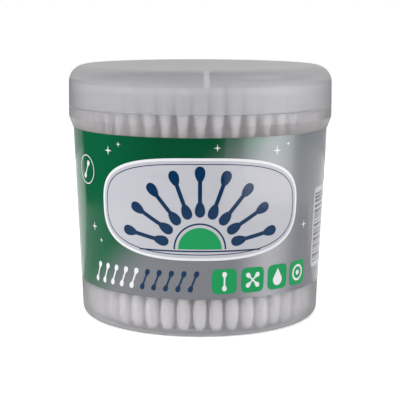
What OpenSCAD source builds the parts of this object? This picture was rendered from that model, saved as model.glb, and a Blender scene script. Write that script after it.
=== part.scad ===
// Round drum of cotton swabs: a tapered tub with a press-on lid, a wrapped label and rings of swabs
// The origin is the centre of the circle that the tub stands on, and the label's front faces -Y

/* [Tub wall] */
// Diameter that the outside of the wall would have at the table, before the foot is rounded
base_d = 77; // [60:0.5:90]
// Slope of the wall from upright, which lets the tub leave its mould
wall_draft = 2.3; // [1:0.1:3]
// Thickness of the tub's wall
wall_t = 0.9; // [0.7:0.05:1.2]
// Radius of the round edge between wall and foot
base_fillet = 2.4; // [1.5:0.1:3.5]
// Radius of the round corner inside, between wall and floor
floor_fillet = 1.2; // [0.8:0.1:2]
// Thickness of the floor
floor_t = 0.9; // [0.7:0.1:1.5]
// Height of the standing ring under the floor
foot_h = 0.5; // [0.3:0.1:1]
// Width of the standing ring
foot_w = 2.6; // [1.5:0.1:5]

/* [Shoulder and neck] */
// Small step that stands out over the label's upper edge
shoulder_step = 0.35; // [0.2:0.05:0.5]
// How far the shoulder widens beyond that step
shoulder_out = 1.15; // [0.8:0.05:1.6]
// Height of the shoulder's cone
shoulder_h = 3.3; // [2:0.1:5]
// Height of the upright band between the shoulder and the ledge
band_h = 3.3; // [2:0.1:5]
// Drop from the lid's top to the neck's rim
rim_drop = 5.2; // [4.6:0.1:6.5]
// Height of the locking bead above the ledge
bead_z = 4.9; // [3:0.1:5.4]
// How far the locking bead stands out of the neck
bead_out = 0.4; // [0.2:0.05:0.4]

/* [Lid] */
// Height of the lid from its lower edge to its top
lid_h = 13; // [12:0.1:14]
// Thickness of the lid's skirt
lid_t = 0.85; // [0.7:0.05:0.95]
// Thickness of the lid's top
lid_top_t = 1; // [0.8:0.05:1.2]
// Radius of the lid's round upper edge
lid_fillet = 5.5; // [4:0.1:6]
// Bevel that breaks the meeting edges of lid and ledge
edge_bevel = 0.25; // [0.1:0.05:0.4]
// Slope of the lid's skirt from upright
lid_draft = 0.6; // [0:0.1:1]
// Air gap between the lid's skirt and the locking bead
lid_gap = 0.3; // [0.3:0.05:0.5]
// Air gap between the heads of the swabs and the lid's top
head_gap = 3.8; // [1:0.1:3.9]
// Number of stop ribs inside the lid
rib_count = 4; // [2:1:8]
// Width of one stop rib
rib_w = 1.5; // [1:0.1:2.5]
// How far a stop rib reaches in from the skirt
rib_depth = 1.7; // [1.2:0.1:2.4]
// Air gap between a stop rib and the neck's rim
rib_gap = 0.4; // [0.3:0.1:0.8]
// Angle of the first stop rib from the front
rib_turn = 2.5; // [-20:0.5:20]

/* [Label] */
// Height of the label's lower edge above the table
label_z = 12.1; // [6:0.1:20]
// Gap between the label's upper edge and the shoulder
label_top_gap = 0.2; // [0.1:0.1:2]
// Thickness of the label film
label_t = 0.1; // [0.06:0.01:0.2]
// Thickness of the glue between film and wall
glue_t = 0.02; // [0.01:0.01:0.04]
// Width of the seam where the label's two ends meet
label_seam = 0.6; // [0.3:0.1:2]

/* [Swabs] */
// Length of one swab over both cotton tips
swab_l = 74.6; // [70:0.1:77]
// Diameter of the paper stick
stick_d = 2.2; // [2:0.1:2.8]
// Largest diameter of a cotton tip
tip_d = 4.56; // [4:0.02:5]
// Length of a cotton tip
tip_l = 14; // [11:0.5:18]
// Height of a tip's widest place above its end
tip_belly = 4.2; // [2.4:0.1:5]
// Cotton over the end of the stick
tip_end = 1.5; // [1:0.1:2.5]
// Cotton around the stick where the tip fades out
tip_edge = 0.15; // [0.15:0.05:0.4]
// Air gap between the stick and the cotton wound on it
wind_gap = 0.05; // [0.03:0.01:0.08]
// Gap between the outermost tips and the tub's wall
wall_gap = 0.2; // [0.1:0.05:0.6]
// Gap between one ring of swabs and the next
ring_gap = 0.06; // [0.05:0.01:0.3]
// Gap between neighbours in the outermost ring
outer_gap = 0.34; // [0.1:0.02:0.6]
// Gap between neighbours in the other rings
inner_gap = 0.1; // [0.06:0.02:0.6]
// Gap between the lowest tips and the tub's floor
stand_gap = 0.02; // [0.01:0.01:0.1]
// Angle between the first swabs of one ring and the next
ring_turn = 97.3; // [0:0.1:360]

/* [Hidden] */
$fn = 96;
arc_steps = 6;

// Radius of the outside of the bare wall at height z
function wall_r(z) = base_d / 2 + z * tan(wall_draft);
// Points along an arc around [cx, cz] from angle a0 to angle a1
function arc(cx, cz, r, a0, a1, n = arc_steps) =
    [for (i = [0:n]) let (a = a0 + (a1 - a0) * i / n) [cx + r * cos(a), cz + r * sin(a)]];

wall_t_flat = wall_t / cos(wall_draft);
floor_z = foot_h + floor_t;
lid_z = floor_z + swab_l + head_gap + lid_top_t;
rim_z = lid_z - rim_drop;
ledge_z = lid_z - lid_h;
band_z = ledge_z - band_h;
shoulder_z = band_z - shoulder_h;
step_r = wall_r(shoulder_z) + shoulder_step;
band_r = step_r + shoulder_out;
lid_top_r = band_r - (lid_h - lid_fillet) * tan(lid_draft);
skirt_in_r = band_r - lid_t;
neck_r = skirt_in_r - bead_z * tan(lid_draft) - lid_gap - bead_out;
neck_in_r = neck_r - wall_t;
// Radius at which the lid's inner corner starts to turn down
lid_corner_r = lid_top_r - lid_t - (lid_fillet - lid_top_t);
label_h = shoulder_z - label_top_gap - label_z;
label_in_r = wall_r(label_z) + glue_t;

// The swabs stand on the floor inside the wall and spread towards the neck
spread_z = (ledge_z + rim_z) / 2;
tip_r = tip_d / 2;
ring_step = tip_d + ring_gap;
outer_foot_r = wall_r(floor_z + tip_r) - wall_t_flat - wall_gap - tip_r;
outer_head_r = min(wall_r(spread_z) - wall_t_flat, neck_in_r) - wall_gap - tip_r;
spread = outer_head_r / outer_foot_r;
ring_count = floor((outer_foot_r - 0.6 * tip_d) / ring_step) + 1;
// Radius of the circle that the feet of ring k stand on, counted from the outside
function ring_r(k) = outer_foot_r - (k - 1) * ring_step;
// Number of swabs in ring k
function ring_n(k) =
    let (pitch = tip_d + (k == 1 ? outer_gap : inner_gap))
    floor(180 / asin(min(1, pitch / (2 * ring_r(k)))));
// Lean of ring k from upright
function ring_lean(k) = atan(ring_r(k) * (spread - 1) / (spread_z - floor_z));
// Angle of the first swab of ring k, with one of the outermost at the front
function ring_phase(k) = -90 + (k - 1) * ring_turn;

// Outside of the tub from the middle of the floor to the neck's rim
function tub_outside() = concat(
    [[0, foot_h], [wall_r(0) - base_fillet - foot_w, foot_h], [wall_r(0) - base_fillet - foot_w + foot_h, 0]],
    arc(wall_r(base_fillet) - base_fillet, base_fillet, base_fillet, -90, -wall_draft),
    [[wall_r(shoulder_z), shoulder_z], [step_r, shoulder_z], [band_r, band_z]],
    [[band_r, ledge_z - edge_bevel], [band_r - edge_bevel, ledge_z], [neck_r, ledge_z]],
    arc(neck_r, ledge_z + bead_z, bead_out, -90, 90),
    arc(neck_r - wall_t / 2, rim_z - wall_t / 2, wall_t / 2, 0, 180)
);

// Inside of the tub from the neck's rim back to the middle of the floor
function tub_inside() = concat(
    [[neck_in_r, ledge_z - wall_t], [band_r - wall_t, ledge_z - wall_t]],
    [[band_r - wall_t, band_z + wall_t / 2], [wall_r(shoulder_z) - wall_t_flat, shoulder_z + wall_t / 2]],
    arc(wall_r(floor_z) - wall_t_flat - floor_fillet, floor_z + floor_fillet, floor_fillet, 0, -90),
    [[0, floor_z]]
);

// One-piece moulded tub with foot, tapered wall, shoulder, ledge, neck and locking bead
module tub() {
    color([0.82, 0.84, 0.86, 0.45])
    rotate_extrude()
        polygon(concat(tub_outside(), tub_inside()));
}

// Outside of the lid from its lower edge to the middle of its top
function lid_outside() = concat(
    [[band_r - edge_bevel, ledge_z], [band_r, ledge_z + edge_bevel]],
    arc(lid_top_r - lid_fillet, lid_z - lid_fillet, lid_fillet, 0, 90, 2 * arc_steps),
    [[0, lid_z]]
);

// Inside of the lid from the middle of its top back to its lower edge
function lid_inside() = concat(
    [[0, lid_z - lid_top_t]],
    arc(lid_corner_r, lid_z - lid_fillet, lid_fillet - lid_top_t, 90, 0, 2 * arc_steps),
    [[skirt_in_r, ledge_z]]
);

// Upright rib in the lid's corner that stops the lid just above the neck's rim
module stop_rib(turn) {
    rib_z = rim_z + rib_gap;
    rib_top_z = lid_z - lid_top_t / 2;
    rotate([0, 0, turn - 90])
    intersection() {
        translate([skirt_in_r - rib_depth, -rib_w / 2, rib_z])
            cube([rib_depth + lid_t, rib_w, rib_top_z - rib_z]);
        rotate_extrude()
            polygon(concat(
                [[0, rib_z - rib_w], [lid_top_r - lid_t / 2, rib_z - rib_w]],
                arc(lid_corner_r, lid_z - lid_fillet, lid_fillet - lid_top_t + lid_t / 2, 0, 90),
                [[0, lid_z - lid_top_t + lid_t / 2]]
            ));
    }
}

// One-piece press-on lid with a round upper edge and stop ribs inside
module lid() {
    color([0.80, 0.82, 0.85, 0.5])
    union() {
        rotate_extrude()
            polygon(concat(lid_outside(), lid_inside()));
        for (i = [0:rib_count - 1])
            stop_rib(rib_turn + i * 360 / rib_count);
    }
}

// Printed film wrapped once around the wall, with its seam at the back
module label() {
    seam_angle = label_seam / label_in_r * 180 / PI;
    color([0.45, 0.62, 0.55])
    rotate([0, 0, 90 + seam_angle / 2])
    rotate_extrude(angle = 360 - seam_angle)
        polygon([
            [label_in_r, label_z],
            [label_in_r + label_t, label_z],
            [label_in_r + label_t + label_h * tan(wall_draft), label_z + label_h],
            [label_in_r + label_h * tan(wall_draft), label_z + label_h]
        ]);
}

// Paper stick of one swab, standing on the origin
module stick() {
    translate([0, 0, tip_end])
        cylinder(d = stick_d, h = swab_l - 2 * tip_end);
}

// Half section of a cotton tip: an egg-shaped end, a full belly and a fade down to the stick
function tip_section() = concat(
    [for (i = [0:3]) let (a = 30 * i) [tip_r * sin(a), tip_belly * (1 - cos(a))]],
    [for (i = [1:4])
        let (u = i / 4, fade = (1 + cos(180 * u)) / 2, edge_r = stick_d / 2 + tip_edge)
        [edge_r + (tip_r - edge_r) * fade, tip_belly + (tip_l - tip_belly) * u]],
    [[stick_d / 2 + wind_gap, tip_l], [stick_d / 2 + wind_gap, tip_end - wind_gap], [0, tip_end - wind_gap]]
);

// Cotton tip wound on the end of a stick, round end at the origin
module tip() {
    rotate_extrude($fn = 32)
        polygon(tip_section());
}

// Puts its child at the foot of every swab of ring k, leaning outwards like the wall
module each_swab(k) {
    for (i = [0:ring_n(k) - 1])
        rotate([0, 0, ring_phase(k) + i * 360 / ring_n(k)])
        translate([ring_r(k), 0, floor_z + stand_gap])
        rotate([0, ring_lean(k), 0])
            children();
}

// Sticks of the swabs in ring k, counted from the outside
module swab_sticks(k) {
    color([0.95, 0.95, 0.93])
    each_swab(k)
        stick();
}

// Cotton tips that the swabs in ring k stand on
module swab_lower_tips(k) {
    color([0.97, 0.97, 0.96])
    each_swab(k)
        tip();
}

// Cotton tips at the heads of the swabs in ring k
module swab_upper_tips(k) {
    color([0.97, 0.97, 0.96])
    each_swab(k)
        translate([0, 0, swab_l])
        mirror([0, 0, 1])
            tip();
}

tub();
lid();
label();
for (k = [1:ring_count])
    swab_sticks(k);
for (k = [1:ring_count])
    swab_lower_tips(k);
for (k = [1:ring_count])
    swab_upper_tips(k);
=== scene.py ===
import math
import random

import bmesh
import bpy
from bpy.props import FloatProperty, IntProperty, PointerProperty, StringProperty
from mathutils import Matrix, Vector


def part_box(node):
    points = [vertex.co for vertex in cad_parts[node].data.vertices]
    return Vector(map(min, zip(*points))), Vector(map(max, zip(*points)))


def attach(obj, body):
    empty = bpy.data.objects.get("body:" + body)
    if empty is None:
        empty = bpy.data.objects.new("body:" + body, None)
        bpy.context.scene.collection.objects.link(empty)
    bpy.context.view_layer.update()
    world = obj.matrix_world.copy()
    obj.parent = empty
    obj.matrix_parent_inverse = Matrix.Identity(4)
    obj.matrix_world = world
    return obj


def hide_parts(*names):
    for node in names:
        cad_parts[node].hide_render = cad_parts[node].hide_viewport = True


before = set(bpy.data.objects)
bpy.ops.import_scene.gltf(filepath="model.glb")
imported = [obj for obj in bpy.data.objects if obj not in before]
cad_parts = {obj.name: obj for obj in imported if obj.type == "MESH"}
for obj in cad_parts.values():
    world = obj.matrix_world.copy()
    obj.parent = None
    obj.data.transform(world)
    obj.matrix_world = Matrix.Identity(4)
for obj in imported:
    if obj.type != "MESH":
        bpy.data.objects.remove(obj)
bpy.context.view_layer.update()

# Looks of a round drum of cotton swabs, laid out as an add-on and run as a script.
# Lengths are in metres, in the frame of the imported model. Helpers on the label work in millimetres.

bl_info = {
    "name": "Cotton swab tub",
    "version": (1, 0, 0),
    "blender": (4, 5, 0),
    "location": "3D View > Sidebar > Swab Tub",
    "description": "Dresses the tub, its lid, its printed label and its cotton swabs",
    "category": "Object",
}

MM = 0.001
RING_COUNT = sum(1 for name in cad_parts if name.startswith("swab_sticks_ring_"))

# Room for the lid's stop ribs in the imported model, a little larger than they are. The first stands just
# right of the front, and half of its room is 0.8 mm at a radius of 41 mm
RIB_COUNT = 4
RIB_TURN = math.radians(2.5)
RIB_HALF_TURN = math.asin(0.8 / 41)
RIB_INNER_R = 38.5 * MM
# A height just above the neck's rim
OVER_RIM_Z = 75.7 * MM

# Width of the photograph in pixels, and of the camera's sensor in millimetres
IMAGE_WIDTH = 400
SENSOR_WIDTH = 36


# Helpers for colours and nodes

def linear(hex_text):
    """Linear colour of an sRGB hex value, opaque."""
    parts = [int(hex_text[i:i + 2], 16) / 255 for i in (1, 3, 5)]
    return [p / 12.92 if p <= 0.04045 else ((p + 0.055) / 1.055) ** 2.4 for p in parts] + [1.0]


def new_material(name):
    """Empty material and its node tree."""
    material = bpy.data.materials.new(name)
    material.use_nodes = True
    material.node_tree.nodes.clear()
    return material, material.node_tree


def add(tree, kind, settings=None, **inputs):
    """Node of a kind with its settings, and each input set to a value, or linked to a socket or to a
    node's first output. An input is named in lower case with _ for a space, or as in_0, in_1 by its place."""
    node = tree.nodes.new(kind)
    for key, value in (settings or {}).items():
        setattr(node, key, value)
    for key, value in inputs.items():
        if key.startswith("in_"):
            socket = node.inputs[int(key[3:])]
        else:
            socket = next(s for s in node.inputs if s.name.lower().replace(" ", "_") == key)
        if isinstance(value, bpy.types.Node):
            value = value.outputs[0]
        if isinstance(value, bpy.types.NodeSocket):
            tree.links.new(value, socket)
        else:
            socket.default_value = value
    return node


def around_axis(tree, place):
    """Coordinates of a place, and its turn about the tub's axis from the front, positive to the right."""
    axes = add(tree, "ShaderNodeSeparateXYZ", vector=place).outputs
    forward = add(tree, "ShaderNodeMath", {"operation": "MULTIPLY"}, in_0=axes["Y"], in_1=-1.0)
    turn = add(tree, "ShaderNodeMath", {"operation": "ARCTAN2"}, in_0=axes["X"], in_1=forward)
    return axes, turn


# Settings that a user would change

class PlasticSettings(bpy.types.PropertyGroup):
    """Frosted polypropylene of the tub and the lid"""
    tub_colour: StringProperty(name="Tub colour", description="sRGB hex colour of the tub's plastic",
                               default="#DDDAE2")
    lid_colour: StringProperty(name="Lid colour", description="sRGB hex colour of the lid's plastic",
                               default="#E2E1E6")
    tub_haze: FloatProperty(name="Tub haze", default=0.22, min=0.0, max=1.0, subtype="FACTOR",
                            description="Share of the light that one face of the tub's wall scatters")
    lid_haze: FloatProperty(name="Lid haze", default=0.32, min=0.0, max=1.0, subtype="FACTOR",
                            description="Share of the light that one face of the lid scatters")
    tub_clearness: FloatProperty(name="Tub clearness", default=0.99, min=0.0, max=1.0, subtype="FACTOR",
                                 description="Share of the unscattered light that one face of the tub lets "
                                             "pass")
    lid_clearness: FloatProperty(name="Lid clearness", default=0.97, min=0.0, max=1.0, subtype="FACTOR",
                                 description="Share of the unscattered light that one face of the lid lets "
                                             "pass")
    tub_roughness: FloatProperty(name="Tub roughness", default=0.32, min=0.0, max=1.0, subtype="FACTOR",
                                 description="Roughness of the tub's moulded surface")
    lid_roughness: FloatProperty(name="Lid roughness", default=0.36, min=0.0, max=1.0, subtype="FACTOR",
                                 description="Roughness of the lid's moulded surface")
    tub_blur: FloatProperty(name="Tub blur", default=0.28, min=0.0, max=1.0, subtype="FACTOR",
                            description="Share of the clear light that the tub's matt surface blurs")
    lid_blur: FloatProperty(name="Lid blur", default=0.7, min=0.0, max=1.0, subtype="FACTOR",
                            description="Share of the clear light that the lid's matt surface blurs")


class LabelSettings(bpy.types.PropertyGroup):
    """Printed film around the wall"""
    green: StringProperty(name="Green", default="#005735",
                          description="sRGB hex colour of the label's green field")
    deep_green: StringProperty(name="Deep green", default="#00482C",
                               description="sRGB hex colour of the green field towards the front")
    # A painted highlight: the green where the soft box's reflection is painted as a lighter band
    highlight_green: StringProperty(name="Mint", default="#008560",
                         description="sRGB hex colour of the green field in the light band")
    silver: StringProperty(name="Silver", default="#75777C",
                           description="sRGB hex colour of the label's silver field")
    # A painted highlight: the silver where the soft box's reflection is painted as a lighter band
    highlight_silver: StringProperty(name="Light silver", default="#A7A6AB",
                                 description="sRGB hex colour of the silver field in the light band")
    panel: StringProperty(name="Panel", default="#B6B6BD", description="sRGB hex colour of the light panel")
    white: StringProperty(name="White", default="#DEDEE2",
                          description="sRGB hex colour of the panel's rim and the light signs")
    navy: StringProperty(name="Navy", default="#002C50", description="sRGB hex colour of the dark signs")
    bright: StringProperty(name="Bright green", default="#009050",
                           description="sRGB hex colour of the tiles and the half-disc")
    lift: FloatProperty(name="Ink lift", default=0.03 * MM, min=0.01 * MM, max=0.1 * MM, unit="LENGTH",
                        description="Height of one layer of ink over the film")
    dice: FloatProperty(name="Dice", default=1.0 * MM, min=0.3 * MM, max=4 * MM, unit="LENGTH",
                        description="Widest flat stretch of a printed shape around the label")


class SwabSettings(bpy.types.PropertyGroup):
    """Cotton tips and paper sticks"""
    tip_diameter: FloatProperty(name="Tip diameter", default=4.5 * MM, min=3 * MM, max=6 * MM, unit="LENGTH",
                                description="Largest diameter of a cotton tip")
    tip_length: FloatProperty(name="Tip length", default=14 * MM, min=8 * MM, max=18 * MM, unit="LENGTH",
                              description="Length of a cotton tip")
    tip_belly: FloatProperty(name="Tip belly", default=4.2 * MM, min=2 * MM, max=6 * MM, unit="LENGTH",
                             description="Height of a tip's widest place above its end")
    tip_end: FloatProperty(name="Tip end", default=1.5 * MM, min=0.5 * MM, max=3 * MM, unit="LENGTH",
                           description="Cotton over the end of the stick")
    unevenness: FloatProperty(name="Unevenness", default=0.03, min=0.0, max=0.2, subtype="FACTOR",
                              description="How far the wound cotton strays from round")
    sides: IntProperty(name="Sides", default=16, min=8, max=48,
                       description="Number of sides around a cotton tip")
    cotton: StringProperty(name="Cotton", default="#E8E6E5", description="sRGB hex colour of the cotton")
    paper: StringProperty(name="Paper", default="#F6EBDE", description="sRGB hex colour of the paper sticks")


class StageSettings(bpy.types.PropertyGroup):
    """Floor, lights and camera"""
    camera_distance: FloatProperty(name="Camera distance", default=0.3930, unit="LENGTH",
                                   description="From the tub's axis to the lens")
    camera_height: FloatProperty(name="Camera height", default=0.0987, unit="LENGTH",
                                 description="Of the lens above the floor")
    camera_pitch: FloatProperty(name="Camera pitch", default=0.1576, subtype="ANGLE",
                                description="How far the lens looks down")
    camera_roll: FloatProperty(name="Camera roll", default=0.0028, subtype="ANGLE",
                               description="Turn of the camera about its view")
    focal_px: FloatProperty(name="Focal length in pixels", default=1208.5, subtype="PIXEL",
                            description="In a frame of 400 pixels")
    key_power: FloatProperty(name="Key power", default=0.9, unit="POWER",
                             description="Of the soft box at the right")
    fill_power: FloatProperty(name="Fill power", default=1.6, unit="POWER",
                              description="Of the soft box at the left")
    top_power: FloatProperty(name="Top power", default=1.25, unit="POWER",
                             description="Of the soft box overhead")
    room_grey: FloatProperty(name="Room grey", default=0.68, min=0.0, max=1.0, subtype="FACTOR",
                             description="Level of the light from the room")


class TubSettings(bpy.types.PropertyGroup):
    """All settings of the tub"""
    plastic: PointerProperty(type=PlasticSettings)
    label: PointerProperty(type=LabelSettings)
    swab: PointerProperty(type=SwabSettings)
    stage: PointerProperty(type=StageSettings)


# Materials

def stop_ribs(tree, place):
    """Two masks on the lid: where a stop rib stands behind the wall, and all that is above the neck's rim."""
    axes, turn = around_axis(tree, place)
    from_first = add(tree, "ShaderNodeMath", {"operation": "SUBTRACT"}, in_0=turn, in_1=RIB_TURN)
    off = add(tree, "ShaderNodeMath", {"operation": "PINGPONG"}, in_0=from_first, in_1=math.pi / RIB_COUNT)
    near = add(tree, "ShaderNodeMath", {"operation": "LESS_THAN"}, in_0=off, in_1=RIB_HALF_TURN)
    flat = add(tree, "ShaderNodeCombineXYZ", x=axes["X"], y=axes["Y"])
    r = add(tree, "ShaderNodeVectorMath", {"operation": "LENGTH"}, in_0=flat)
    outer = add(tree, "ShaderNodeMath", {"operation": "GREATER_THAN"}, in_0=r.outputs["Value"],
                in_1=RIB_INNER_R)
    high = add(tree, "ShaderNodeMath", {"operation": "GREATER_THAN"}, in_0=axes["Z"], in_1=OVER_RIM_Z)
    rib = add(tree, "ShaderNodeMath", {"operation": "MULTIPLY"}, in_0=near, in_1=high)
    rib = add(tree, "ShaderNodeMath", {"operation": "MULTIPLY"}, in_0=rib, in_1=outer)
    return rib, high


def frosted_polypropylene(name, colour, haze, clearness, roughness, blur, is_lid=False):
    """Frosted polypropylene: a milky moulding of about 0.9 mm with a fine matt texture.
    It shows what stands close behind it and veils and blurs what stands further back."""
    material, tree = new_material(name)
    # Moulded matt texture of about 0.15 mm grain, drawn at 0.6 mm so that it shows at all
    place = add(tree, "ShaderNodeTexCoord").outputs["Object"]
    grain = add(tree, "ShaderNodeTexNoise", in_0=place, scale=1 / (0.6 * MM), detail=2.0)
    bump = add(tree, "ShaderNodeBump", strength=0.04, distance=0.02 * MM, height=grain)

    # Seen at a slant the wall is thicker: less of it stays clear, and what shines through gets dimmer, by
    # more than the thickness alone would make it, as painted shade that darkens the rim
    slant = add(tree, "ShaderNodeLayerWeight", blend=0.5).outputs["Facing"]
    upright = add(tree, "ShaderNodeMath", {"operation": "SUBTRACT"}, in_0=1.08, in_1=slant)
    path = add(tree, "ShaderNodeMath", {"operation": "DIVIDE"}, in_0=1.0, in_1=upright)
    short = add(tree, "ShaderNodeMath", {"operation": "POWER"}, in_0=path, in_1=0.5)
    clear_share = add(tree, "ShaderNodeMath", {"operation": "POWER"}, in_0=1 - haze, in_1=short)
    long = add(tree, "ShaderNodeMath", {"operation": "POWER"}, in_0=path, in_1=2.0)
    dim = add(tree, "ShaderNodeMath", {"operation": "POWER"}, in_0=0.97, in_1=long)

    # Painted shade: a face that leans back is darkened, in its colour and in the view through it, for the
    # view bent down into the shade between the heads of the swabs, as long as it isn't seen at too much of a
    # slant. The level top isn't darkened and shows the heads themselves
    lean = add(tree, "ShaderNodeNewGeometry").outputs["Normal"]
    lean = add(tree, "ShaderNodeSeparateXYZ", vector=lean).outputs["Z"]
    into = add(tree, "ShaderNodeMapRange", value=slant, from_min=0.4, from_max=0.56,
               to_min=-0.2 * clearness, to_max=0.0)
    back = add(tree, "ShaderNodeMapRange", value=lean, from_min=0.25, from_max=0.8)
    level = add(tree, "ShaderNodeMapRange", value=lean, from_min=0.93, to_min=1.0, to_max=0.0)
    back = add(tree, "ShaderNodeMath", {"operation": "MULTIPLY"}, in_0=back, in_1=level)
    shade = add(tree, "ShaderNodeMath", {"operation": "MULTIPLY_ADD"}, in_0=back, in_1=into, in_2=clearness)
    if is_lid:
        # A stop rib behind the wall makes the plastic thick, so it is milky there
        rib, high = stop_ribs(tree, place)
        thin = add(tree, "ShaderNodeMath", {"operation": "MULTIPLY_ADD"}, in_0=rib, in_1=-0.8, in_2=1.0)
        clear_share = add(tree, "ShaderNodeMath", {"operation": "MULTIPLY"}, in_0=clear_share, in_1=thin)
        # Painted shade: over the neck's rim the round edge is darkened a little more, for the shade above the
        # heads
        over = add(tree, "ShaderNodeMath", {"operation": "MULTIPLY"}, in_0=high, in_1=level)
        over = add(tree, "ShaderNodeMath", {"operation": "MULTIPLY_ADD"}, in_0=over, in_1=-0.12, in_2=1.0)
        shade = add(tree, "ShaderNodeMath", {"operation": "MULTIPLY"}, in_0=shade, in_1=over)
    # What shines straight through carries the painted shade
    dim = add(tree, "ShaderNodeMath", {"operation": "MULTIPLY"}, in_0=dim, in_1=shade)

    # Painted shade: at its rim an upright wall's colour is darkened, for the dark of the room that it bends
    # in
    rim = add(tree, "ShaderNodeMapRange", value=slant, from_min=0.5, from_max=1.0, to_min=1.0, to_max=0.1)
    tilt = add(tree, "ShaderNodeMath", {"operation": "ABSOLUTE"}, in_0=lean)
    tilted = add(tree, "ShaderNodeMapRange", value=tilt, from_max=0.3)
    rim = add(tree, "ShaderNodeMath", {"operation": "MAXIMUM"}, in_0=rim, in_1=tilted)
    rim = add(tree, "ShaderNodeMath", {"operation": "MULTIPLY"}, in_0=rim, in_1=shade)
    tone = add(tree, "ShaderNodeMix", {"data_type": "RGBA", "blend_type": "MULTIPLY"}, in_0=1.0,
               in_6=linear(colour), in_7=rim)

    # The milky plastic sends about half of what it scatters on to the inside
    skin = add(tree, "ShaderNodeBsdfPrincipled", base_color=tone.outputs[2], roughness=roughness, ior=1.49,
               specular_ior_level=0.0, normal=bump)
    milk = add(tree, "ShaderNodeBsdfTranslucent", color=linear("#F4F4F6"))
    body = add(tree, "ShaderNodeMixShader", in_0=0.5, in_1=skin, in_2=milk)
    clear = add(tree, "ShaderNodeBsdfTransparent", color=dim)
    # The blurred view through carries the painted shade as its colour
    frost = add(tree, "ShaderNodeBsdfRefraction", color=shade, roughness=0.4, ior=1.3)
    seen = add(tree, "ShaderNodeMixShader", in_0=blur, in_1=clear, in_2=frost)
    wall = add(tree, "ShaderNodeMixShader", in_0=clear_share, in_1=body, in_2=seen)

    # The outer gloss lies over the whole wall
    gloss = add(tree, "ShaderNodeBsdfAnisotropic", color=(0.43, 0.43, 0.43, 1), roughness=roughness,
                normal=bump)
    mirror = add(tree, "ShaderNodeFresnel", ior=1.49)
    inside = add(tree, "ShaderNodeNewGeometry").outputs["Backfacing"]
    outside = add(tree, "ShaderNodeMath", {"operation": "SUBTRACT"}, in_0=1.0, in_1=inside)
    share = add(tree, "ShaderNodeMath", {"operation": "MULTIPLY"}, in_0=mirror, in_1=outside)
    surface = add(tree, "ShaderNodeMixShader", in_0=share, in_1=wall, in_2=gloss)
    add(tree, "ShaderNodeOutputMaterial", surface=surface)
    return material


def varnish(tree, colour):
    """Satin varnish over a print, with faint waves in the film and fine wear that make its gloss uneven."""
    place = add(tree, "ShaderNodeTexCoord").outputs["Object"]
    # Rubbed streaks around the tub, about 1 mm high and 15 mm long
    along = add(tree, "ShaderNodeMapping", vector=place, scale=(0.07, 0.07, 1.0))
    rub = add(tree, "ShaderNodeTexNoise", in_0=along, scale=1 / (1.0 * MM), detail=3.0)
    rough = add(tree, "ShaderNodeMapRange", value=rub, from_min=0.3, from_max=0.7, to_min=0.10, to_max=0.15)
    # The film follows the wall in waves of about 12 mm
    wave = add(tree, "ShaderNodeTexNoise", in_0=place, scale=1 / (12 * MM), detail=1.0)
    bump = add(tree, "ShaderNodeBump", strength=0.25, distance=0.05 * MM, height=wave)
    # Screened ink covers the film unevenly by a few hundredths
    cover = add(tree, "ShaderNodeMapRange", value=rub, from_min=0.3, from_max=0.7, to_min=0.97, to_max=1.0)
    shade = add(tree, "ShaderNodeMix", {"data_type": "RGBA", "blend_type": "MULTIPLY"}, in_0=1.0,
                in_6=colour, in_7=cover)
    shader = add(tree, "ShaderNodeBsdfPrincipled", base_color=shade.outputs[2], roughness=rough, ior=1.48,
                 normal=bump)
    add(tree, "ShaderNodeOutputMaterial", surface=shader)


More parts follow.
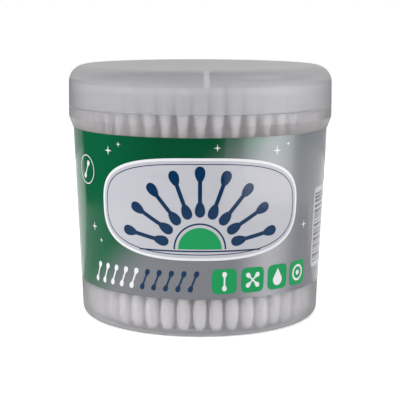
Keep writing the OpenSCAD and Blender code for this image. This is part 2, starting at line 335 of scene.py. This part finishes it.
def label_film(settings):
    """Printed polypropylene film with a satin varnish: a green field that gets deeper towards the front and
    fades to silver grey to the right and downwards. A painted highlight, the soft box's reflection, runs up
    it as a lighter band to the right."""
    material, tree = new_material("satin_printed_film")
    low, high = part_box("label")
    axes, turn = around_axis(tree, add(tree, "ShaderNodeTexCoord").outputs["Object"])
    height = add(tree, "ShaderNodeMapRange", value=axes["Z"], from_min=low[2], from_max=high[2])
    # The green ends at a slanting front: 55 degrees left at the lower edge, 21 degrees right at the upper.
    # Past it a tail of green stays, up to 0.18 at the upper edge
    front = add(tree, "ShaderNodeMapRange", value=height, to_min=math.radians(-55), to_max=math.radians(21))
    past = add(tree, "ShaderNodeMath", {"operation": "SUBTRACT"}, in_0=turn, in_1=front)
    tail = add(tree, "ShaderNodeMath", {"operation": "POWER"}, in_0=height, in_1=2.0)
    tail = add(tree, "ShaderNodeMath", {"operation": "MULTIPLY"}, in_0=tail, in_1=0.18)
    fade = add(tree, "ShaderNodeMapRange", {"interpolation_type": "SMOOTHSTEP"}, value=past,
               from_min=math.radians(-15), from_max=math.radians(18), to_min=1.0, to_max=tail)
    middle = add(tree, "ShaderNodeMapRange", {"interpolation_type": "SMOOTHSTEP"}, value=turn,
                 from_min=math.radians(-50), from_max=math.radians(-12))
    greens = add(tree, "ShaderNodeMix", {"data_type": "RGBA"}, in_0=middle,
                 in_6=linear(settings.green), in_7=linear(settings.deep_green))
    # Painted highlight: the soft box's reflection is painted as a soft lighter band up the silver and the
    # green, 32 degrees to the right
    aside = add(tree, "ShaderNodeMath", {"operation": "SUBTRACT"}, in_0=turn, in_1=math.radians(32))
    away = add(tree, "ShaderNodeMath", {"operation": "ABSOLUTE"}, in_0=aside)
    painted_highlight = add(tree, "ShaderNodeMapRange", {"interpolation_type": "SMOOTHSTEP"}, value=away,
                from_min=0.0, from_max=math.radians(19), to_min=1.0, to_max=0.0)
    silver_with_highlight = add(tree, "ShaderNodeMix", {"data_type": "RGBA"}, in_0=painted_highlight,
                  in_6=linear(settings.silver), in_7=linear(settings.highlight_silver))
    greens_with_highlight = add(tree, "ShaderNodeMix", {"data_type": "RGBA"}, in_0=painted_highlight,
                in_6=greens.outputs[2], in_7=linear(settings.highlight_green))
    field = add(tree, "ShaderNodeMix", {"data_type": "RGBA"}, in_0=fade,
                in_6=silver_with_highlight.outputs[2], in_7=greens_with_highlight.outputs[2])
    varnish(tree, field.outputs[2])
    return material


def ink(name, colour):
    """Flexographic ink under the film's satin varnish."""
    material, tree = new_material(name)
    varnish(tree, linear(colour))
    return material


def wound_cotton(colour):
    """Bleached cotton wool wound on a stick: matt white with soft fibres that are drawn out along it."""
    material, tree = new_material("wound_cotton")
    place = add(tree, "ShaderNodeTexCoord").outputs["Object"]
    # Tufts of fibre are about 0.5 mm wide and three times as long
    stretch = add(tree, "ShaderNodeMapping", vector=place, scale=(1.0, 1.0, 0.35))
    fibre = add(tree, "ShaderNodeTexNoise", in_0=stretch, scale=1 / (0.5 * MM), detail=4.0, roughness=0.6)
    bump = add(tree, "ShaderNodeBump", strength=0.35, distance=0.15 * MM, height=fibre)
    tone = add(tree, "ShaderNodeMapRange", value=fibre, from_min=0.3, from_max=0.7, to_min=0.93, to_max=1.0)
    shade = add(tree, "ShaderNodeMix", {"data_type": "RGBA", "blend_type": "MULTIPLY"}, in_0=1.0,
                in_6=linear(colour), in_7=tone)
    shader = add(tree, "ShaderNodeBsdfPrincipled", base_color=shade.outputs[2], roughness=0.95,
                 specular_ior_level=0.2, sheen_weight=0.3, sheen_roughness=0.5, normal=bump)
    add(tree, "ShaderNodeOutputMaterial", surface=shader)
    return material


def rolled_paper(colour):
    """Paper rolled tightly into a stick: matt, faintly fibrous white."""
    material, tree = new_material("rolled_paper")
    place = add(tree, "ShaderNodeTexCoord").outputs["Object"]
    # Pulp fibres of about 0.3 mm
    pulp = add(tree, "ShaderNodeTexNoise", in_0=place, scale=1 / (0.3 * MM), detail=3.0)
    tone = add(tree, "ShaderNodeMapRange", value=pulp, to_min=0.94, to_max=1.0)
    shade = add(tree, "ShaderNodeMix", {"data_type": "RGBA", "blend_type": "MULTIPLY"}, in_0=1.0,
                in_6=linear(colour), in_7=tone)
    shader = add(tree, "ShaderNodeBsdfPrincipled", base_color=shade.outputs[2], roughness=0.8)
    add(tree, "ShaderNodeOutputMaterial", surface=shader)
    return material


def dress(node, material):
    """Gives a CAD node's object its material."""
    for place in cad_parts[node].material_slots:
        place.material = material


# Label geometry

class LabelSurface:
    """The label's cone. A place on it is s, the way around from the front to the right, and t, the
    height over the label's lower edge, both in millimetres."""

    def __init__(self):
        low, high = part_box("label")
        self.low_z = low[2]
        self.height = (high[2] - low[2]) / MM
        self.low_r = self.outer_r(low[2])
        self.high_r = self.outer_r(high[2])
        self.middle_r = (self.low_r + self.high_r) / 2

    def outer_r(self, z):
        """Outer radius of the CAD label at one of its edges."""
        places = [v.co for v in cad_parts["label"].data.vertices]
        return max(math.hypot(p.x, p.y) for p in places if abs(p.z - z) < 0.1 * MM)

    def turn(self, s):
        """Angle from the front of a place s millimetres around."""
        return s * MM / self.middle_r

    def normal(self, s):
        """Direction straight out of the film."""
        slope = math.atan2(self.high_r - self.low_r, self.height * MM)
        a = self.turn(s)
        return Vector((math.sin(a) * math.cos(slope), -math.cos(a) * math.cos(slope), -math.sin(slope)))

    def point(self, s, t, lift):
        """Place in the frame, lifted off the film."""
        r = self.low_r + (self.high_r - self.low_r) * t / self.height + lift
        a = self.turn(s)
        return Vector((r * math.sin(a), -r * math.cos(a), self.low_z + t * MM))


def circle(s, t, r, count=48):
    """Outline of a disc on the label."""
    return [(s + r * math.cos(2 * math.pi * i / count), t + r * math.sin(2 * math.pi * i / count))
            for i in range(count)]


def rounded_panel(s, t, half_w, half_h, power=2.8, count=120):
    """Outline between an ellipse, at a power of 2, and a rectangle."""
    outline = []
    for i in range(count):
        a = 2 * math.pi * i / count
        c, d = math.cos(a), math.sin(a)
        outline.append((s + half_w * math.copysign(abs(c) ** (2 / power), c),
                        t + half_h * math.copysign(abs(d) ** (2 / power), d)))
    return outline


def bar(s, t, length, width, angle=0.0):
    """Outline of a straight bar about its middle."""
    c, d = math.cos(angle), math.sin(angle)
    x, y = length / 2, width / 2
    return [(s + u * c - v * d, t + u * d + v * c) for u, v in ((-x, -y), (x, -y), (x, y), (-x, y))]


def tip_outline(s, t, length, width, angle, count=24):
    """Outline of one drop-shaped head, with its round end at the angle from its middle."""
    c, d = math.cos(angle), math.sin(angle)
    outline = []
    for i in range(count):
        a = 2 * math.pi * i / count
        x = length / 2 * math.cos(a)
        y = width / 2 * math.sin(a) * (1 + 0.25 * math.cos(a))
        outline.append((s + x * c - y * d, t + x * d + y * c))
    return outline


def swab_sign(s, t, length, angle, stick, head):
    """Outlines of a swab drawn as a simple sign: a bar with a head at each end."""
    c, d = math.cos(angle), math.sin(angle)
    head_l = min(0.32 * length, 2.2 * head)
    reach = length / 2 - head_l / 2
    return [bar(s, t, length - head_l, stick, angle),
            tip_outline(s + reach * c, t + reach * d, head_l, head, angle),
            tip_outline(s - reach * c, t - reach * d, head_l, head, angle + math.pi)]


def arch(s, t, r, count=32):
    """Outline of a half-disc that stands on its straight side."""
    return [(s + r * math.cos(math.pi * i / count), t + r * math.sin(math.pi * i / count))
            for i in range(count + 1)]


def drop_outline(s, t, height, count=32):
    """Outline of a drop with its point up."""
    r = 0.33 * height
    outline = [(s, t + height - r)]
    for i in range(count + 1):
        a = math.radians(150 + 240 * i / count)
        outline.append((s + r * math.cos(a), t + r * math.sin(a)))
    return outline


def star(s, t, r):
    """Outline of a thin star with four points."""
    outline = []
    for i in range(8):
        reach = 0.22 * r if i % 2 else r
        outline.append((s + reach * math.cos(math.pi * i / 4), t + reach * math.sin(math.pi * i / 4)))
    return outline


def between(outline, other):
    """Quads between two outlines of equal count."""
    n = len(outline)
    return [[outline[i], outline[(i + 1) % n], other[(i + 1) % n], other[i]] for i in range(n)]


def print_shapes(name, shapes, layer, material):
    """One piece of ink: flat outlines, cut into narrow strips and laid on the label's cone."""
    settings = bpy.context.scene.swab_tub.label
    surface = LabelSurface()
    mesh = bmesh.new()
    # Shapes that overlap lie a hair apart, in millimetres, at one of six heights
    hair, heights = 0.0015, 6
    for k, outline in enumerate(shapes):
        mesh.faces.new([mesh.verts.new((s, t, k % heights * hair)) for s, t in outline])
    bmesh.ops.triangulate(mesh, faces=mesh.faces)

    # No cut runs through the corner of a shape, as it would at a round number
    step, aside = settings.dice / MM, 0.37
    low = min(v.co.x for v in mesh.verts)
    high = max(v.co.x for v in mesh.verts)
    for i in range(math.ceil(low / step), math.floor(high / step) + 1):
        bmesh.ops.bisect_plane(mesh, geom=mesh.verts[:] + mesh.edges[:] + mesh.faces[:],
                               plane_co=((i + aside) * step, 0, 0), plane_no=(1, 0, 0))
    lift = settings.lift * layer
    normals = []
    mesh.verts.index_update()
    for v in mesh.verts:
        normals.append(surface.normal(v.co.x))
        v.co = surface.point(v.co.x, v.co.y, lift + v.co.z * MM)
    mesh.normal_update()
    for face in mesh.faces:
        if sum((normals[v.index] for v in face.verts), Vector()).dot(face.normal) < 0:
            face.normal_flip()
        face.smooth = True

    data = bpy.data.meshes.new(name)
    mesh.to_mesh(data)
    mesh.free()
    data.normals_split_custom_set_from_vertices(normals)
    data.materials.append(material)
    piece = bpy.data.objects.new(name, data)
    bpy.context.scene.collection.objects.link(piece)
    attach(piece, "tub")


# Swab geometry

def swab_axes(node):
    """Lower and upper end of each stick in a CAD node, from the rims of its long face."""
    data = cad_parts[node].data
    low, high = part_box(node)
    tall = 0.5 * (high[2] - low[2])
    links = {}
    for edge in data.edges:
        a, b = edge.vertices
        links.setdefault(a, []).append(b)
        links.setdefault(b, []).append(a)
    seen = set()
    axes = []
    for start in range(len(data.vertices)):
        if start in seen:
            continue
        seen.add(start)
        island = [start]
        for i in island:
            for j in links.get(i, []):
                if j not in seen:
                    seen.add(j)
                    island.append(j)
        heights = [data.vertices[i].co.z for i in island]
        if max(heights) - min(heights) < tall:
            continue
        middle = (max(heights) + min(heights)) / 2
        ends = []
        for side in (-1, 1):
            rim = {tuple(round(c, 7) for c in data.vertices[i].co) for i in island
                   if (data.vertices[i].co.z - middle) * side > 0}
            least = Vector(min(p[k] for p in rim) for k in range(3))
            most = Vector(max(p[k] for p in rim) for k in range(3))
            ends.append((least + most) / 2)
        axes.append(ends)
    return axes


def tip_rows(settings, girth, length, belly):
    """Radius and height of each row of a cotton tip, from its end to where it fades out. The last three
    values scale the tip's width, its length and the height of its widest place."""
    end_rows, side_rows = 6, 8
    # The cotton fades out 0.12 mm over the stick
    edge_r = 1.22 * MM
    r = settings.tip_diameter / 2 * girth
    widest = settings.tip_belly * belly
    rows = []
    for i in range(1, end_rows + 1):
        a = math.pi / 2 * i / end_rows
        rows.append((r * math.sin(a), widest * (1 - math.cos(a))))
    for i in range(1, side_rows + 1):
        u = i / side_rows
        rows.append((edge_r + (r - edge_r) * (1 + math.cos(math.pi * u ** 1.5)) / 2,
                     widest + (settings.tip_length * length - widest) * u))
    return rows


def add_tip(verts, faces, end, inwards, settings, chance):
    """Adds one wound tip to a mesh: its end, the direction to the stick's middle, and chance for its
    unevenness."""
    side = inwards.orthogonal().normalized()
    other = inwards.cross(side)
    base = len(verts)
    verts.append(end)
    n = settings.sides
    # No two tips are wound alike, and each one's lobes wind about it by 260 radians a metre
    twist = 260
    rows = tip_rows(settings, chance.uniform(0.92, 1.02), chance.uniform(0.88, 1.06),
                    chance.uniform(0.8, 1.25))
    lobes = [(chance.uniform(0, 2 * math.pi), chance.uniform(0.4, 1.0) * settings.unevenness)
             for _ in range(3)]
    for r, h in rows:
        for i in range(n):
            a = 2 * math.pi * i / n
            swell = 1 + sum(size * math.sin((k + 1) * a + phase + twist * (k + 1) * h)
                            for k, (phase, size) in enumerate(lobes)) - settings.unevenness
            verts.append(end + inwards * h + (side * math.cos(a) + other * math.sin(a)) * r * swell)
    for i in range(n):
        faces.append((base, base + 1 + (i + 1) % n, base + 1 + i))
    for row in range(len(rows) - 1):
        for i in range(n):
            a = base + 1 + row * n + i
            b = base + 1 + row * n + (i + 1) % n
            faces.append((a, b, b + n, a + n))


# Operators

class DressTub(bpy.types.Operator):
    """Give the tub its frosted plastic"""
    bl_idname = "swab_tub.tub"
    bl_label = "Tub"

    def execute(self, context):
        plastic = context.scene.swab_tub.plastic
        dress("tub", frosted_polypropylene("frosted_polypropylene_tub", plastic.tub_colour, plastic.tub_haze,
                                           plastic.tub_clearness, plastic.tub_roughness, plastic.tub_blur))
        return {"FINISHED"}


class DressLid(bpy.types.Operator):
    """Give the lid its frosted plastic"""
    bl_idname = "swab_tub.lid"
    bl_label = "Lid"

    def execute(self, context):
        plastic = context.scene.swab_tub.plastic
        dress("lid", frosted_polypropylene("frosted_polypropylene_lid", plastic.lid_colour, plastic.lid_haze,
                                           plastic.lid_clearness, plastic.lid_roughness, plastic.lid_blur,
                                           is_lid=True))
        return {"FINISHED"}


class PrintLabel(bpy.types.Operator):
    """Print the label's film with its fields, its panel and its signs"""
    bl_idname = "swab_tub.label"
    bl_label = "Label"

    def print_panel(self, white, pale, navy, bright):
        """A light panel with a rim, and in it a fan of swabs over a half-disc."""
        centre, half_w, half_h = (0.0, 27.5), 33.0, 15.5
        rim, line, line_w = 0.8, 1.7, 0.25
        print_shapes("print_panel_rim", [rounded_panel(*centre, half_w, half_h)], 1, white)
        print_shapes("print_panel", [rounded_panel(*centre, half_w - rim, half_h - rim)], 2, pale)
        fan = between(rounded_panel(*centre, half_w - line, half_h - line),
                      rounded_panel(*centre, half_w - line - line_w, half_h - line - line_w))
        sun = (centre[0], centre[1] - 12.0)
        reach, length = 17.4, 15.4
        for i in range(-4, 5):
            a = math.radians(90 + i * 19.5)
            fan += swab_sign(sun[0] + reach * math.cos(a), sun[1] + reach * math.sin(a), length, a, 1.2, 3.0)
        fan += between(arch(*sun, 8.0), arch(*sun, 7.5)) + [bar(sun[0], sun[1] - 0.6, 38.0, 0.45)]
        print_shapes("print_fan", fan, 3, navy)
        print_shapes("print_half_disc", [arch(*sun, 6.6)], 3, bright)

    def print_rows(self, white, navy, bright):
        """Four tiles with plain signs at the lower right, and swabs in a row at the lower left."""
        t = 5.5
        places = [7.6 + 9.2 * i for i in range(4)]
        signs = []
        for s, angles in ((places[0], (90,)), (places[1], (45, 135))):
            for angle in angles:
                signs += swab_sign(s, t, 6.0, math.radians(angle), 0.5, 1.4)
        signs.append(drop_outline(places[2], t - 0.9, 5.4))
        signs += between(circle(places[3], t, 2.6, 40), circle(places[3], t, 1.9, 40))
        signs.append(circle(places[3], t, 0.8, 24))
        print_shapes("print_tiles", [rounded_panel(s, t, 3.9, 3.9, 5.0, 64) for s in places], 1, bright)
        print_shapes("print_tile_signs", signs, 2, white)
        row = [swab_sign(-37.0 + 3.9 * i, t, 7.0, math.radians(68), 0.55, 1.5) for i in range(10)]
        print_shapes("print_row_light", [shape for sign in row[:5] for shape in sign], 1, white)
        print_shapes("print_row_dark", [shape for sign in row[5:] for shape in sign], 1, navy)

    def print_sparkles(self, white):
        """Thin sparkles around the panel, and a ring at the upper left."""
        shapes = [star(*spot) for spot in ((-30.0, 44.0, 1.5), (-25.8, 46.2, 0.9), (5.0, 46.0, 1.1),
                                           (24.0, 44.6, 1.6), (28.2, 46.4, 0.9), (-38.5, 19.5, 1.5),
                                           (-35.0, 15.6, 0.9), (37.5, 20.5, 1.4))]
        ring = (-42.0, 37.0)
        shapes += between(circle(*ring, 4.6), circle(*ring, 4.3))
        shapes += swab_sign(*ring, 6.4, math.radians(60), 0.5, 1.5)
        print_shapes("print_sparkles", shapes, 1, white)

    def print_sides(self):
        """A ladder of bars and ruled boxes at the sides, where such films carry their small print."""
        ladder_s, ruled_s = 49.5, 62.5
        ladder_low, ladder_high = 7.0, 29.0
        bars, t = [], ladder_low
        chance = random.Random(3)
        while t < ladder_high:
            thick = chance.choice((0.3, 0.3, 0.6, 0.9))
            bars.append(bar(ladder_s, t + thick / 2, 9.0, thick))
            t += thick + chance.choice((0.35, 0.35, 0.7))
        bars += [bar(ruled_s, 8.0 + 2.4 * i, 12.0 if i % 3 else 9.0, 0.3) for i in range(14)]
        boxes = [rounded_panel(ladder_s, 18.2, 5.8, 12.9, 9.0, 96),
                 rounded_panel(ruled_s, 24.0, 7.0, 18.6, 9.0, 96)]
        print_shapes("print_side_boxes", boxes, 1, ink("pale_grey_ink", "#A9A9AF"))
        print_shapes("print_side_bars", bars, 2, ink("grey_black_ink", "#3A3B40"))
        rules = [bar(-51.5 - 1.9 * i, 24.0 + (i % 2) * 1.5, 34.0 - 5.0 * i, 0.35, math.radians(90))
                 for i in range(4)]
        print_shapes("print_side_rules", rules, 1, ink("pale_green_ink", "#8FB7A4"))

    def execute(self, context):
        settings = context.scene.swab_tub.label
        dress("label", label_film(settings))
        white = ink("white_ink", settings.white)
        pale = ink("panel_ink", settings.panel)
        navy = ink("navy_ink", settings.navy)
        bright = ink("bright_green_ink", settings.bright)
        self.print_panel(white, pale, navy, bright)
        self.print_rows(white, navy, bright)
        self.print_sparkles(white)
        self.print_sides()
        return {"FINISHED"}


class WindTips(bpy.types.Operator):
    """Wind cotton tips on both ends of every stick"""
    bl_idname = "swab_tub.tips"
    bl_label = "Cotton tips"

    def execute(self, context):
        settings = context.scene.swab_tub.swab
        cotton = wound_cotton(settings.cotton)
        chance = random.Random(7)
        for ring in range(1, RING_COUNT + 1):
            axes = swab_axes("swab_sticks_ring_%d" % ring)
            for part, near, far in (("lower", 0, 1), ("upper", 1, 0)):
                verts, faces = [], []
                for ends in axes:
                    inwards = (ends[far] - ends[near]).normalized()
                    add_tip(verts, faces, ends[near] - inwards * settings.tip_end, inwards, settings, chance)
                name = "cotton_%s_ring_%d" % (part, ring)
                data = bpy.data.meshes.new(name)
                data.from_pydata(verts, [], faces)
                data.polygons.foreach_set("use_smooth", [True] * len(data.polygons))
                data.materials.append(cotton)
                piece = bpy.data.objects.new(name, data)
                context.scene.collection.objects.link(piece)
                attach(piece, "tub")
                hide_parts("swab_%s_tips_ring_%d" % (part, ring))
        return {"FINISHED"}


class DressSticks(bpy.types.Operator):
    """Give the sticks their rolled paper"""
    bl_idname = "swab_tub.sticks"
    bl_label = "Sticks"

    def execute(self, context):
        paper = rolled_paper(context.scene.swab_tub.swab.paper)
        for ring in range(1, RING_COUNT + 1):
            dress("swab_sticks_ring_%d" % ring, paper)
        return {"FINISHED"}


class SetStage(bpy.types.Operator):
    """Set the floor, the lights and the camera"""
    bl_idname = "swab_tub.stage"
    bl_label = "Stage"

    def white_seen(self, tree, seen, lit, mirrored):
        """White where the camera, a gloss or a clear wall shows it, and otherwise the lit shader. Light that
        milky plastic scatters on its way through counts as light, not as a view. A gloss shows the white in
        the share mirrored."""
        path = add(tree, "ShaderNodeLightPath").outputs
        clear = add(tree, "ShaderNodeMath", {"operation": "SUBTRACT", "use_clamp": True},
                    in_0=path["Is Transmission Ray"], in_1=path["Is Diffuse Ray"])
        clear = add(tree, "ShaderNodeMath", {"operation": "MAXIMUM"}, in_0=path["Is Camera Ray"], in_1=clear)
        gloss = add(tree, "ShaderNodeMath", {"operation": "MULTIPLY"}, in_0=path["Is Glossy Ray"],
                    in_1=mirrored)
        shown = add(tree, "ShaderNodeMath", {"operation": "MAXIMUM"}, in_0=clear, in_1=gloss)
        return add(tree, "ShaderNodeMixShader", in_0=shown, in_1=lit, in_2=seen)

    def stage_mesh(self, name, verts, faces, material):
        """Floor or card that isn't part of the object."""
        data = bpy.data.meshes.new(name)
        data.from_pydata(verts, [], faces)
        data.materials.append(material)
        piece = bpy.data.objects.new(name, data)
        bpy.context.scene.collection.objects.link(piece)
        return piece

    def lay_floor(self):
        """White paper. The view of it has a glow that keeps it white and leaves the object's shadow."""
        material, tree = new_material("white_paper_floor")
        lit = add(tree, "ShaderNodeBsdfDiffuse", color=linear("#F0F0F0"))
        pale = add(tree, "ShaderNodeBsdfDiffuse", color=(1.15, 1.15, 1.15, 1))
        glow = add(tree, "ShaderNodeEmission", color=(1, 1, 1, 1), strength=0.22)
        both = add(tree, "ShaderNodeAddShader", in_0=pale, in_1=glow)
        mixed = self.white_seen(tree, both, lit, 0.2)
        add(tree, "ShaderNodeOutputMaterial", surface=mixed)
        reach = 3.0
        verts = [(-reach, -reach, 0), (reach, -reach, 0), (reach, reach, 0), (-reach, reach, 0)]
        floor = self.stage_mesh("floor", verts, [(0, 1, 2, 3)], material)

    def light_room(self, context, settings):
        """Even light from a room that is seen as white."""
        world = bpy.data.worlds.new("room")
        world.use_nodes = True
        tree = world.node_tree
        tree.nodes.clear()
        seen = add(tree, "ShaderNodeBackground", color=(1, 1, 1, 1), strength=1.0)
        room = add(tree, "ShaderNodeBackground", color=(1, 1, 1, 1), strength=settings.room_grey)
        mixed = self.white_seen(tree, seen, room, 1.0)
        add(tree, "ShaderNodeOutputWorld", surface=mixed)
        context.scene.world = world

    def set_lamps(self, context, settings):
        """Soft boxes that light the object, and three cards that its gloss shows at the right."""
        middle, lid_edge = (0, 0, 0.045), (0, 0, 0.06)
        right, over = (0.173, -0.10, 0.07), (0.21, -0.03, 0.35)
        # Name, place, target, width and height, power, whether it lights, and whether a gloss shows it
        lamps = (("key_box", (0.42, -0.27, 0.2), middle, (0.4, 0.4), settings.key_power, True, False),
                 ("fill_box", (-0.47, -0.17, 0.2), middle, (0.4, 0.4), settings.fill_power, True, False),
                 ("top_box", (0, -0.05, 0.6), middle, (0.6, 0.6), settings.top_power, True, True),
                 ("wide_card", right, lid_edge, (0.18, 0.14), 0.08, False, True),
                 ("bright_card", right, lid_edge, (0.1, 0.14), 0.15, False, True),
                 ("edge_card", over, lid_edge, (0.1, 0.1), 0.5, False, True))
        for name, place, target, size, power, lights, shows in lamps:
            data = bpy.data.lights.new(name, "AREA")
            data.shape = "RECTANGLE"
            data.size, data.size_y = size
            data.energy = power
            lamp = bpy.data.objects.new(name, data)
            lamp.location = place
            lamp.rotation_euler = (Vector(target) - Vector(place)).to_track_quat("-Z", "Y").to_euler()
            lamp.visible_diffuse = lights
            lamp.visible_glossy = shows
            context.scene.collection.objects.link(lamp)

    def set_flags(self):
        """Cards around the tub that only its gloss shows, and one of them also its clear plastic."""
        materials = []
        for name, colour in (("black_felt", "#3C3C3E"), ("grey_card", "#BCBCBF")):
            material, tree = new_material(name)
            tone = add(tree, "ShaderNodeEmission", color=linear(colour), strength=1.0)
            add(tree, "ShaderNodeOutputMaterial", surface=tone)
            materials.append(material)
        felt, card = materials
        # Material, first and last turn in degrees, two rims of a radius and a height, and whether clear
        # plastic shows it: a wall of felt, a grey wall behind the tub, and a grey mat that the lower half of
        # the label mirrors
        flags = ((felt, -122, 20, ((0.21, 0.0), (0.21, 0.24)), False),
                 (card, 92, 236, ((0.4, 0.0), (0.4, 0.1)), True),
                 (card, -122, 110, ((0.047, 0.0005), (0.21, 0.0005)), False))
        steps = 12
        faces = [(2 * k, 2 * k + 2, 2 * k + 3, 2 * k + 1) for k in range(steps)]
        for i, (material, start, end, rims, through) in enumerate(flags):
            verts = []
            for k in range(steps + 1):
                a = math.radians(start + (end - start) * k / steps)
                verts += [(r * math.sin(a), -r * math.cos(a), z) for r, z in rims]
            flag = self.stage_mesh("flag_%d" % i, verts, faces, material)
            flag.visible_camera = flag.visible_diffuse = flag.visible_shadow = False
            flag.visible_transmission = through

    def set_camera(self, context, settings):
        """Camera at the photograph's place and angle."""
        data = bpy.data.cameras.new("camera")
        data.sensor_width = SENSOR_WIDTH
        data.lens = SENSOR_WIDTH * settings.focal_px / IMAGE_WIDTH
        data.clip_start = 0.01
        camera = bpy.data.objects.new("camera", data)
        turn = Matrix.Rotation(math.pi / 2 - settings.camera_pitch, 4, "X")
        turn = turn @ Matrix.Rotation(settings.camera_roll, 4, "Z")
        place = Matrix.Translation((0, -settings.camera_distance, settings.camera_height))
        camera.matrix_world = place @ turn
        context.scene.collection.objects.link(camera)
        context.scene.camera = camera

    def execute(self, context):
        settings = context.scene.swab_tub.stage
        self.lay_floor()
        self.light_room(context, settings)
        self.set_lamps(context, settings)
        self.set_flags()
        self.set_camera(context, settings)
        context.scene.view_settings.view_transform = "Standard"
        return {"FINISHED"}


class TubPanel(bpy.types.Panel):
    """Lists the pieces of the tub"""
    bl_idname = "SWABTUB_PT_pieces"
    bl_label = "Cotton swab tub"
    bl_space_type = "VIEW_3D"
    bl_region_type = "UI"
    bl_category = "Swab Tub"

    def draw(self, context):
        for operator in PIECES:
            self.layout.operator(operator.bl_idname)


PIECES = (DressTub, DressLid, PrintLabel, WindTips, DressSticks, SetStage)
CLASSES = (PlasticSettings, LabelSettings, SwabSettings, StageSettings, TubSettings) + PIECES + (TubPanel,)


def register():
    for cls in CLASSES:
        bpy.utils.register_class(cls)
    bpy.types.Scene.swab_tub = PointerProperty(type=TubSettings)


def unregister():
    del bpy.types.Scene.swab_tub
    for cls in reversed(CLASSES):
        bpy.utils.unregister_class(cls)


def main():
    register()
    bpy.ops.swab_tub.tub()
    bpy.ops.swab_tub.lid()
    bpy.ops.swab_tub.label()
    bpy.ops.swab_tub.tips()
    bpy.ops.swab_tub.sticks()
    bpy.ops.swab_tub.stage()


if __name__ == "__main__":
    main()
